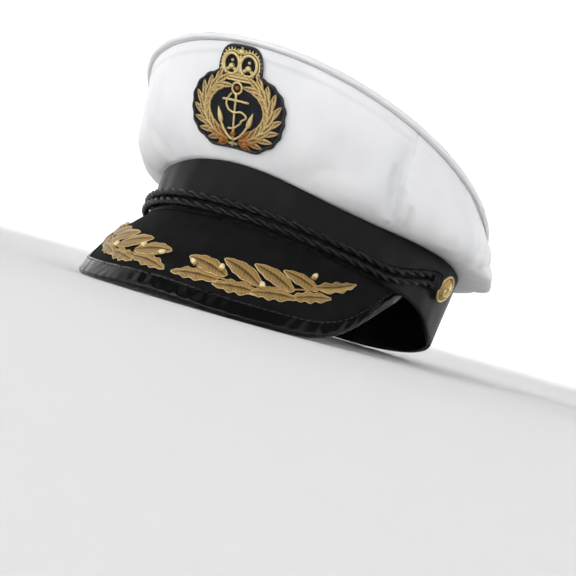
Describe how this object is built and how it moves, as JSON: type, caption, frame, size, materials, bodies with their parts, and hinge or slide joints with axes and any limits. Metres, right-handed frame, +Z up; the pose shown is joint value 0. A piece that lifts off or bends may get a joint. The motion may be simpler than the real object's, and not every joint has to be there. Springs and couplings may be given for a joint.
{
  "type": "naval officer cap",
  "caption": "Peaked naval officer cap: wide soft white crown, black head band, twisted chin cords between gilt buttons, anchor badge, and oak leaf sprays on the peak.",
  "frame": {"origin": "middle of the cap's box at the surface that it rests on", "axes": "+Z up, the peak points to -Y, the wearer's left is +X"},
  "size_m": [0.222, 0.2602, 0.1396],
  "materials": {
    "crown_satin": "glossy white polyester satin",
    "band_satin": "black satin",
    "peak_cloth": "matt charcoal cloth on a stiff board",
    "patent": "glossy patent strip",
    "cord": "twisted rayon cord",
    "gilt": "stamped and gilt",
    "badge_felt": "dark felt",
    "gold_thread": "gold metallic thread, satin stitched"
  },
  "bodies": {
    "root": {"band": "band_satin", "crown_front": "crown_satin", "crown_rear": "crown_satin", "crown_top": "crown_satin", "crown_piping": "crown_satin", "peak": "peak_cloth", "peak_binding": "patent", "chin_cord_lower": "cord", "chin_cord_upper": "cord", "button_left": "gilt", "button_right": "gilt", "badge_backing": "badge_felt", "badge_wreath": "gold_thread", "badge_anchor": "gold_thread", "badge_crown": "gold_thread", "oak_spray_left": "gold_thread", "oak_spray_right": "gold_thread"}
  },
  "joints": []
}
